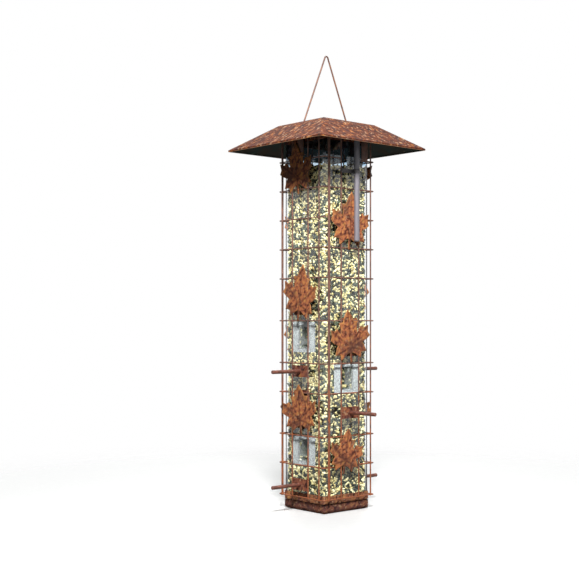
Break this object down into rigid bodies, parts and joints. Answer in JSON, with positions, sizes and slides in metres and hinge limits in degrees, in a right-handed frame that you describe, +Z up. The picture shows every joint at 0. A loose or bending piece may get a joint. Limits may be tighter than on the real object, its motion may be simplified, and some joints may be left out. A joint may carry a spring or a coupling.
{
  "type": "squirrel-proof bird feeder",
  "caption": "Square clear-tube bird feeder in a sprung wire cage with a sloping roof, leaf covers, perches and a hanging bail; weight on the cage closes the ports.",
  "frame": {"origin": "middle of the base's flat underside, with the feeder upright and its ports open", "axes": "+Z up along the seed tube; the faces with two ports each look along -Y and +Y, and the faces with one port each look along +X and -X"},
  "size_m": [0.21, 0.21, 0.6767],
  "materials": {
    "rusted_sheet": "matt rust-red finish mottled with orange, brown and purple",
    "rusted_leaf": "matt rust-red finish with orange edges",
    "rusted_plate": "matt rust-brown finish",
    "rusted_wire": "satin brown finish with rust on the lower wires",
    "perch_metal": "satin rust-brown finish",
    "clear_plastic": "clear, with a light blue tint",
    "port_plastic": "clear to milky",
    "seed": "cream seed with about a third of black seed",
    "zinc_steel": "dull zinc plate",
    "spring_steel": "bright spring wire",
    "steel_screw": "dull zinc plate",
    "grey_tube": "satin grey"
  },
  "bodies": {
    "hopper": {"base_foot": "rusted_sheet", "base_cup": "rusted_sheet", "base_screws": "steel_screw", "seed_tube": "clear_plastic", "seed_fill": "seed", "bail": "rusted_wire", "port_front_upper": "port_plastic", "port_front_lower": "port_plastic", "port_right": "port_plastic", "port_back_upper": "port_plastic", "port_back_lower": "port_plastic", "port_left": "port_plastic", "hanging_rod_right": "zinc_steel", "hanging_rod_left": "zinc_steel", "rod_nut_right": "zinc_steel", "rod_nut_left": "zinc_steel", "spring_right": "spring_steel", "spring_left": "spring_steel"},
    "lid": {"lid": "rusted_sheet"},
    "shroud": {"roof": "rusted_sheet", "cage_front": "rusted_wire", "cage_right": "rusted_wire", "cage_back": "rusted_wire", "cage_left": "rusted_wire", "roof_tabs": "rusted_wire", "perch_plate_front_upper": "rusted_plate", "shutter_front_upper": "rusted_plate", "perch_rod_front_upper": "perch_metal", "perch_plate_front_lower": "rusted_plate", "shutter_front_lower": "rusted_plate", "perch_rod_front_lower": "perch_metal", "perch_plate_right": "rusted_plate", "shutter_right": "rusted_plate", "perch_rod_right": "perch_metal", "perch_plate_back_upper": "rusted_plate", "shutter_back_upper": "rusted_plate", "perch_rod_back_upper": "perch_metal", "perch_plate_back_lower": "rusted_plate", "shutter_back_lower": "rusted_plate", "perch_rod_back_lower": "perch_metal", "perch_plate_left": "rusted_plate", "shutter_left": "rusted_plate", "perch_rod_left": "perch_metal", "leaf_front_top": "rusted_leaf", "leaf_front_upper": "rusted_leaf", "leaf_front_lower": "rusted_leaf", "leaf_back_top": "rusted_leaf", "leaf_back_upper": "rusted_leaf", "leaf_back_lower": "rusted_leaf", "leaf_right_top": "rusted_leaf", "leaf_right_middle": "rusted_leaf", "leaf_right_low": "rusted_leaf", "leaf_left_top": "rusted_leaf", "leaf_left_middle": "rusted_leaf", "leaf_left_low": "rusted_leaf", "spring_sleeve_right": "grey_tube", "spring_sleeve_left": "grey_tube", "sleeve_caps": "grey_tube", "sleeve_plugs": "grey_tube", "sleeve_clips": "grey_tube"}
  },
  "joints": [
    {"name": "cage_drop", "type": "slide", "parent": "hopper", "child": "shroud", "axis": [0, 0, -1], "range_m": [0, 0.055], "stiffness_N_per_m": 40, "springref_m": -0.36, "deforming": ["spring_right", "spring_left"]},
    {"name": "lid_lift", "type": "slide", "parent": "hopper", "child": "lid", "axis": [0, 0, 1], "range_m": [0, 0.07]}
  ]
}
